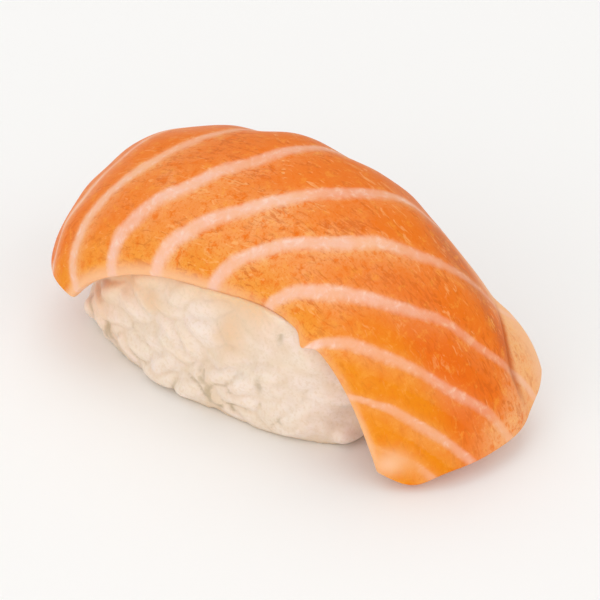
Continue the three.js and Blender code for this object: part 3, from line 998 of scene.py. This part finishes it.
def salmon_flesh(colours):
    """Raw salmon cut with a wet knife: bright translucent orange between soft pinkish fat lines,
    fine fibres along the slice, and a moist sheen without hard lights."""
    material, tree = new_material("raw salmon, knife-cut")
    # The UV map holds the place on the slice in centimetres, so a noise of scale 10 has marks of
    # 1 mm: patches of 7 mm, mottle of 1.4 mm, grain of 0.3 mm, and fibres and streaks 0.6 mm thick
    # that are drawn out along the slice. With each scale come its roughness and distortion.
    place = add_node(tree, "ShaderNodeUVMap", {"uv_map": "slice_cm"}).outputs[0]
    drawn_out = add_node(tree, "ShaderNodeMapping", {"Scale": (0.32, 1, 1)}, {"Vector": place}).outputs[0]
    patterns = (
        ("patch", place, 1.5, 0.45, 0.5),
        ("mottle", place, 7, 0.65, 0.3),
        ("grain", place, 30, 0.6, 0.0),
        ("fibre", drawn_out, 16, 0.62, 1.0),
        ("streak", drawn_out, 15, 0.55, 1.1),
    )
    noise = {
        name: add_node(
            tree,
            "ShaderNodeTexNoise",
            {"Scale": scale, "Detail": 4.0, "Roughness": rough, "Distortion": bent},
            {"Vector": vector},
        ).outputs[0]
        for name, vector, scale, rough, bent in patterns
    }
    mask = {
        name: add_node(tree, "ShaderNodeAttribute", {"attribute_name": name}).outputs["Fac"]
        for name in SALMON_MASKS
    }
    # Fibres come in clusters, and streaks in others: a share of the patches is added to the noise
    clustered = {
        name: add_node(
            tree,
            "ShaderNodeMath",
            {"operation": "MULTIPLY_ADD", 1: share},
            {0: noise["patch"], 2: noise[name]},
        ).outputs[0]
        for name, share in (("fibre", 0.5), ("streak", -0.4))
    }
    # Each mark's source, the noise at which it sets in and is full, and its values there
    steps = (
        ("rich", noise["patch"], 0.5, 0.36, 0.0, 0.85),
        ("pale", noise["patch"], 0.5, 0.62, 0.0, 0.6),
        ("dark", noise["mottle"], 0.5, 0.7, 0.0, 0.85),
        ("light", noise["mottle"], 0.48, 0.3, 0.0, 0.5),
        ("uneven", noise["mottle"], 0.35, 0.65, 1.15, 0.85),
        ("fibre", clustered["fibre"], 0.77, 0.95, 0.0, 0.5),
        ("streak", clustered["streak"], 0.38, 0.52, 0.0, 0.4),
        ("grain", noise["grain"], 0.5, 0.68, 0.0, 0.6),
    )
    marks = {
        name: add_node(
            tree,
            "ShaderNodeMapRange",
            {"interpolation_type": "SMOOTHSTEP", 1: low, 2: high, 3: least, 4: most},
            {0: source},
        ).outputs[0]
        for name, source, low, high, least, most in steps
    }
    # The fat lines are ragged: the mottle shifts the distance from them
    ragged = add_node(
        tree, "ShaderNodeMath", {"operation": "MULTIPLY_ADD", 1: 0.55}, {0: noise["mottle"], 2: mask["line"]}
    ).outputs[0]
    strength = add_node(
        tree, "ShaderNodeMath", {"operation": "MULTIPLY"}, {0: marks["uneven"], 1: mask["line_strength"]}
    ).outputs[0]
    soft_step = {"interpolation_type": "SMOOTHSTEP", 1: 2.0, 2: 0.65}
    line = add_node(tree, "ShaderNodeMapRange", soft_step, {0: ragged, 4: strength}).outputs[0]
    fat_light = add_node(tree, "ShaderNodeMath", {"operation": "MULTIPLY"}, {0: line, 1: marks["light"]})
    # The marks of the muscle don't run through the fat lines
    bare = add_node(
        tree, "ShaderNodeMapRange", {**soft_step, 4: 0.1}, {0: ragged, 3: mask["fibrous"]}
    ).outputs[0]
    for name in ("dark", "grain", "fibre", "streak"):
        apart = add_node(tree, "ShaderNodeMath", {"operation": "MULTIPLY"}, {0: marks[name], 1: bare})
        marks[name] = apart.outputs[0]
    pools = add_node(tree, "ShaderNodeMath", {"operation": "MULTIPLY"}, {0: marks["rich"], 1: mask["gold"]})
    base = layered(
        tree,
        colours.flesh,
        (
            (marks["pale"], colours.sheen),
            (mask["gold"], colours.flesh_gold),
            # Deeper orange towards the back, and off the top, which leaves the top paler as painted sheen
            (mask["deep"], colours.flesh_deep),
            # Red flesh of the near end's bands, and painted shade before the crease
            (mask["red"], colours.flesh_red),
            (mask["back"], colours.flesh_back),
            # Painted shade along the back
            (mask["strip"], colours.crease),
            (mask["flap"], colours.flap),
            (pools.outputs[0], colours.flesh_pool),
            (mask["pool"], colours.flesh_pool),
            (marks["light"], colours.flesh_gold),
            # Painted sheen beside the fat lines and in the middle of the front
            (mask["sheen"], colours.sheen),
            (mask["end_edge"], colours.sheen),
            (marks["dark"], colours.flesh_deep),
            (marks["grain"], colours.flesh_deep),
            (marks["fibre"], colours.fibre),
            (marks["streak"], colours.streak),
            (mask["cut_edge"], colours.cut_edge),
            (line, colours.fat),
            (fat_light.outputs[0], colours.fat_light),
            # Painted shade in the crease
            (mask["crease"], colours.crease),
        ),
    )
    height = add_node(tree, "ShaderNodeMath", {"operation": "ADD"}, {0: noise["fibre"], 1: noise["mottle"]})
    relief = {"Strength": 0.3, "Distance": 0.1 * MM}
    bump = add_node(tree, "ShaderNodeBump", relief, {"Height": height.outputs[0]})
    shader = add_node(
        tree,
        "ShaderNodeBsdfPrincipled",
        {
            "Roughness": 0.42,
            "IOR": 1.38,
            "Specular IOR Level": 0.15,
            "Subsurface Weight": 0.15,
            "Subsurface Radius": (1.0, 0.45, 0.2),
            "Subsurface Scale": 1.2 * MM,
        },
        {"Base Color": base, "Normal": bump.outputs[0]},
    )
    add_node(tree, "ShaderNodeOutputMaterial", {}, {"Surface": shader.outputs[0]})
    return material


def cooked_rice(colours):
    """Cooked short-grain rice, pressed by hand: pearly cream grains, cloudy inside and glassy at
    their edges, stuck together with a film of starch that softens every gap."""
    material, tree = new_material("cooked short-grain rice")
    place = add_node(tree, "ShaderNodeTexCoord").outputs["Object"]
    # Warm patches 6 mm across, clouds in the grains 2.2 mm, grit of the starch 0.4 mm
    noise = {
        name: add_node(
            tree,
            "ShaderNodeTexNoise",
            {"Scale": 1 / (size * MM), "Detail": 3.0, "Roughness": 0.55},
            {"Vector": place},
        ).outputs[0]
        for name, size in (("patch", 6.0), ("cloud", 2.2), ("grit", 0.4))
    }
    mask = {
        name: add_node(tree, "ShaderNodeAttribute", {"attribute_name": name}).outputs["Fac"]
        for name in RICE_MASKS
    }
    # Each mark's source, the noise at which it sets in and is full, and how strong it is there
    steps = (
        ("warm", noise["patch"], 0.45, 0.65, 0.35),
        ("cloudy", noise["cloud"], 0.45, 0.66, 0.45),
        ("broken", noise["cloud"], 0.4, 0.52, 1.0),
        ("grit", noise["grit"], 0.45, 0.7, 0.4),
    )
    marks = {
        name: add_node(
            tree,
            "ShaderNodeMapRange",
            {"interpolation_type": "SMOOTHSTEP", 1: low, 2: high, 4: most},
            {0: source},
        ).outputs[0]
        for name, source, low, high, most in steps
    }
    crease = add_node(
        tree, "ShaderNodeMath", {"operation": "MULTIPLY"}, {0: marks["broken"], 1: mask["crease"]}
    )
    base = layered(
        tree,
        colours.rice,
        (
            # Pearly grains and spots of painted light
            (mask["pearl_and_painted_light"], colours.rice_light),
            (marks["warm"], colours.rice_gap),
            (marks["cloudy"], colours.rice_light),
            # Painted shade between the grains
            (mask["gap"], colours.rice_gap),
            # Painted reflection of the salmon, and the spots of shade
            (mask["near_slice"], colours.rice_warm),
            (marks["grit"], colours.rice_gap),
            # Painted contact shadow at the foot
            (mask["foot"], colours.rice_gap),
            # Painted shade in the creases and clefts
            (crease.outputs[0], colours.rice_crease),
        ),
    )
    relief = {"Strength": 0.2, "Distance": 0.1 * MM}
    bump = add_node(tree, "ShaderNodeBump", relief, {"Height": noise["grit"]})
    shader = add_node(
        tree,
        "ShaderNodeBsdfPrincipled",
        {
            "Roughness": 0.38,
            "IOR": 1.4,
            "Specular IOR Level": 0.45,
            "Subsurface Weight": 0.3,
            "Subsurface Radius": (1.0, 0.75, 0.5),
            "Subsurface Scale": 1.1 * MM,
        },
        {"Base Color": base, "Normal": bump.outputs[0]},
    )
    add_node(tree, "ShaderNodeOutputMaterial", {}, {"Surface": shader.outputs[0]})
    return material


def painted_floor(colour):
    """A matt painted table top, seamless: flat and pale, with a coat that is barely uneven, by
    0.05 mm about every millimetre."""
    material, tree = new_material("matt white paint")
    place = add_node(tree, "ShaderNodeTexCoord").outputs["Object"]
    noise = add_node(tree, "ShaderNodeTexNoise", {"Scale": 900.0, "Detail": 2.0}, {"Vector": place})
    relief = {"Strength": 0.03, "Distance": 0.05 * MM}
    bump = add_node(tree, "ShaderNodeBump", relief, {"Height": noise.outputs["Fac"]})
    shader = add_node(
        tree,
        "ShaderNodeBsdfPrincipled",
        {"Base Color": rgba(colour), "Roughness": 0.8},
        {"Normal": bump.outputs[0]},
    )
    add_node(tree, "ShaderNodeOutputMaterial", {}, {"Surface": shader.outputs[0]})
    return material


# ---- Settings ----


def colour_property(name, description, hex_colour):
    """A colour that a user can change, with an sRGB hex colour as its default."""
    return FloatVectorProperty(
        name=name, description=description, default=linear(hex_colour), subtype="COLOR", min=0, max=1
    )


class SliceSettings(PropertyGroup):
    """Sizes and fineness of the salmon slice."""

    rows: IntProperty(name="Rows", description="Grid rows along the slice", default=300, min=40)
    columns: IntProperty(name="Columns", description="Grid columns across it", default=112, min=20)
    band_swell: FloatProperty(
        name="Band swell",
        description="How far the flesh swells between the fat lines",
        default=0.16 * MM,
        unit="LENGTH",
    )
    line_width: FloatProperty(
        name="Fat line width",
        description="Width of a fat line at the front edge",
        default=1.3 * MM,
        unit="LENGTH",
    )


class RiceSettings(PropertyGroup):
    """Fineness of the rice."""

    fill: FloatProperty(
        name="Fill",
        description="How far starch and broken grains fill the gaps between the outer grains",
        default=0.4 * MM,
        unit="LENGTH",
    )
    fusing: FloatProperty(
        name="Fusing",
        description="Size of the detail that the starch between the grains fills",
        default=0.33 * MM,
        unit="LENGTH",
    )
    seam_depth: FloatProperty(
        name="Seam depth",
        description="How far the surface is drawn in between two grains",
        default=0.14 * MM,
        unit="LENGTH",
    )
    softening: IntProperty(
        name="Softening", description="Rounds of smoothing over the grains", default=2, min=0
    )


class ColourSettings(PropertyGroup):
    """Colours of the food and the floor."""

    flesh: colour_property("Flesh", "Orange of the salmon", "#F29245")
    flesh_deep: colour_property("Deep flesh", "Redder orange of its middle and near end", "#EC7410")
    # This red also paints the shade before the crease
    flesh_red: colour_property("Rich flesh", "Fullest orange, in the near end's bands", "#E86400")
    flesh_gold: colour_property("Golden flesh", "Yellower orange near the front edge", "#F5A33C")
    flesh_pool: colour_property("Golden pools", "Richest yellow orange, in pools at the front", "#EE8C06")
    flesh_back: colour_property("Back flesh", "Duller red orange on the back", "#DA7A42")
    flap: colour_property("Flap", "Peach of the turned-up flap", "#F1B57C")
    # Painted sheen: peach that stands in for soft reflected light beside the fat lines; the same colour also
    # paints random pale patches and the back of the near end
    sheen: colour_property("Sheen", "Peach close behind a fat line", "#F5B377")
    fibre: colour_property("Fibres", "Dark red orange of the muscle fibres", "#CE5A0A")
    streak: colour_property("Streaks", "Pale yellow streaks of fat within the muscle", "#FBC27E")
    # Painted shade: the colour of the shade in the crease and along the back
    crease: colour_property("Crease", "Brown red deep in the crease", "#B8582A")
    cut_edge: colour_property("Cut edge", "Glassy peach of the cut front edge", "#F6BE90")
    fat: colour_property("Fat", "Pinkish white of the fat lines", "#F6C5B1")
    fat_light: colour_property("Light fat", "Whiter spots in the fat lines", "#FBE3D5")
    # Also the colour of the spots of painted light
    rice: colour_property("Rice", "Cream of the cooked rice", "#EFDFCE")
    rice_light: colour_property("Light rice", "Pearly pinkish white of some grains", "#F6E6DE")
    # Painted shade between the grains, in the spots of shade and at the foot; also the colour of random warm
    # patches and grit
    rice_gap: colour_property("Gaps", "Tan between the grains", "#DFC4A4")
    # Painted shade of the creases and clefts
    rice_crease: colour_property("Creases", "Olive brown creases near the board", "#927E4C")
    # Painted reflection of the salmon on the rice near it, and painted shade in spots
    rice_warm: colour_property("Warm rice", "Rice that lies close to the salmon", "#EFC193")
    floor: colour_property("Floor", "Pale floor", "#FAF9F7")


class StageSettings(PropertyGroup):
    """Camera and light."""

    azimuth: FloatProperty(
        name="Azimuth", description="Camera's turn round the piece", default=41 * DEGREES, subtype="ANGLE"
    )
    elevation: FloatProperty(
        name="Elevation", description="Camera's height angle", default=34 * DEGREES, subtype="ANGLE"
    )
    distance: FloatProperty(
        name="Distance", description="From camera to target", default=386.4 * MM, unit="LENGTH"
    )
    lens: FloatProperty(name="Lens", description="Focal length in millimetres", default=183.97)
    brightness: FloatProperty(
        name="Brightness", description="Multiplies every light", default=1.0, min=0
    )


# ---- Operators ----


class MakeSalmon(Operator):
    """Makes the salmon slice and its material"""

    bl_idname = "nigiri.make_salmon"
    bl_label = "Make salmon slice"

    def execute(self, context):
        top, under, place_mm, masks = slice_surface(context.scene.nigiri_slice)
        points, faces, kept = closed_slice(top, under)
        obj = new_mesh_object("salmon_slice", points, faces)
        for name in SALMON_MASKS:
            store(obj.data, name, np.concatenate([masks[name].ravel(), masks[name][kept]]))
        corners = np.empty(len(obj.data.loops), np.int32)
        obj.data.loops.foreach_get("vertex_index", corners)
        centimetres = np.concatenate([place_mm.reshape(-1, 2), place_mm[kept]]) / 10
        uv = obj.data.uv_layers.new(name="slice_cm")
        uv.data.foreach_set("uv", centimetres[corners].astype(np.float32).ravel())
        obj.data.materials.append(salmon_flesh(context.scene.nigiri_colours))
        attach(obj, "root")
        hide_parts("salmon")
        return {"FINISHED"}


class MakeRice(Operator):
    """Makes the rice: its core, its grains and its material"""

    bl_idname = "nigiri.make_rice"
    bl_label = "Make rice"

    def execute(self, context):
        settings = context.scene.nigiri_rice
        grains = rice_grains()
        tubes = [core_surface(settings.fill / MM)] + grains
        obj = new_mesh_object("pressed_rice", *joined_tubes(tubes))
        mesh = fused_rice(obj, settings)
        points = mesh_points(mesh)
        field = grain_field(points, grains)
        seams = settings.seam_depth / MM * open_seam(points, field)
        draw_in(mesh, points, seams + CLEFT_DEPTH * spots(points, CLEFTS))
        for name, values in rice_masks(points, field, len(grains)).items():
            store(mesh, name, values)
        mesh.materials.clear()
        mesh.materials.append(cooked_rice(context.scene.nigiri_colours))
        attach(obj, "root")
        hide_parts("rice")
        return {"FINISHED"}


def aim(obj, target):
    """Turns a lamp or a camera towards a point."""
    obj.rotation_euler = (Vector(target) - Vector(obj.location)).to_track_quat("-Z", "Y").to_euler()


def make_floor(colour):
    """A square of floor under the piece, which is no part of it."""
    side = FLOOR_HALF
    corners = [(-side, -side, 0), (side, -side, 0), (side, side, 0), (-side, side, 0)]
    mesh = bpy.data.meshes.new("floor")
    mesh.from_pydata(corners, [], [(0, 1, 2, 3)])
    floor = bpy.data.objects.new("floor", mesh)
    bpy.context.scene.collection.objects.link(floor)
    mesh.materials.append(painted_floor(colour))


def make_lights(brightness):
    """An even white studio with soft square lamps that face the piece."""
    world = bpy.data.worlds.new("studio")
    world.use_nodes = True
    background = world.node_tree.nodes["Background"]
    background.inputs["Color"].default_value = rgba(linear("#FFFFFF"))
    background.inputs["Strength"].default_value = WORLD_LIGHT * brightness
    bpy.context.scene.world = world
    for name, place, size, power in LAMPS:
        light = bpy.data.lights.new(name, "AREA")
        light.size = size
        light.energy = power * brightness
        lamp = bpy.data.objects.new(name, light)
        lamp.location = place
        aim(lamp, LIT_POINT)
        bpy.context.scene.collection.objects.link(lamp)


def make_camera(settings):
    """A camera that looks at the piece from the azimuth and elevation of the settings."""
    lens = bpy.data.cameras.new("camera")
    lens.sensor_width = SENSOR_WIDTH
    lens.lens = settings.lens
    lens.clip_start, lens.clip_end = CLIPPING
    camera = bpy.data.objects.new("camera", lens)
    target = np.array(CAMERA_TARGET) * MM
    az, el = settings.azimuth, settings.elevation
    back = np.array((math.sin(az) * math.cos(el), -math.cos(az) * math.cos(el), math.sin(el)))
    camera.location = target + back * settings.distance
    aim(camera, target)
    bpy.context.scene.collection.objects.link(camera)
    bpy.context.scene.camera = camera


class MakeStage(Operator):
    """Makes the floor, the lights and the camera"""

    bl_idname = "nigiri.make_stage"
    bl_label = "Make stage"

    def execute(self, context):
        scene = context.scene
        make_floor(scene.nigiri_colours.floor)
        make_lights(scene.nigiri_stage.brightness)
        make_camera(scene.nigiri_stage)
        scene.view_settings.view_transform = "Standard"
        return {"FINISHED"}


class NigiriPanel(Panel):
    """Lists the sizes, the colours and the pieces"""

    bl_idname = "VIEW3D_PT_nigiri"
    bl_label = "Salmon nigiri"
    bl_space_type = "VIEW_3D"
    bl_region_type = "UI"
    bl_category = "Nigiri"

    def draw(self, context):
        layout = self.layout
        for group in GROUPS:
            settings = getattr(context.scene, group)
            box = layout.box()
            for name in settings.bl_rna.properties.keys():
                if name not in ("rna_type", "name"):
                    box.prop(settings, name)
        for operator in OPERATORS:
            layout.operator(operator.bl_idname)


GROUPS = {
    "nigiri_slice": SliceSettings,
    "nigiri_rice": RiceSettings,
    "nigiri_colours": ColourSettings,
    "nigiri_stage": StageSettings,
}
OPERATORS = (MakeSalmon, MakeRice, MakeStage)
CLASSES = (*GROUPS.values(), *OPERATORS, NigiriPanel)


def register():
    """Registers the classes and gives every scene the settings."""
    for cls in CLASSES:
        bpy.utils.register_class(cls)
    for name, group in GROUPS.items():
        setattr(bpy.types.Scene, name, PointerProperty(type=group))


def unregister():
    """Takes the settings and the classes away again."""
    for name in GROUPS:
        delattr(bpy.types.Scene, name)
    for cls in reversed(CLASSES):
        bpy.utils.unregister_class(cls)


def main():
    """Makes every piece."""
    register()
    bpy.ops.nigiri.make_salmon()
    bpy.ops.nigiri.make_rice()
    bpy.ops.nigiri.make_stage()


if __name__ == "__main__":
    main()
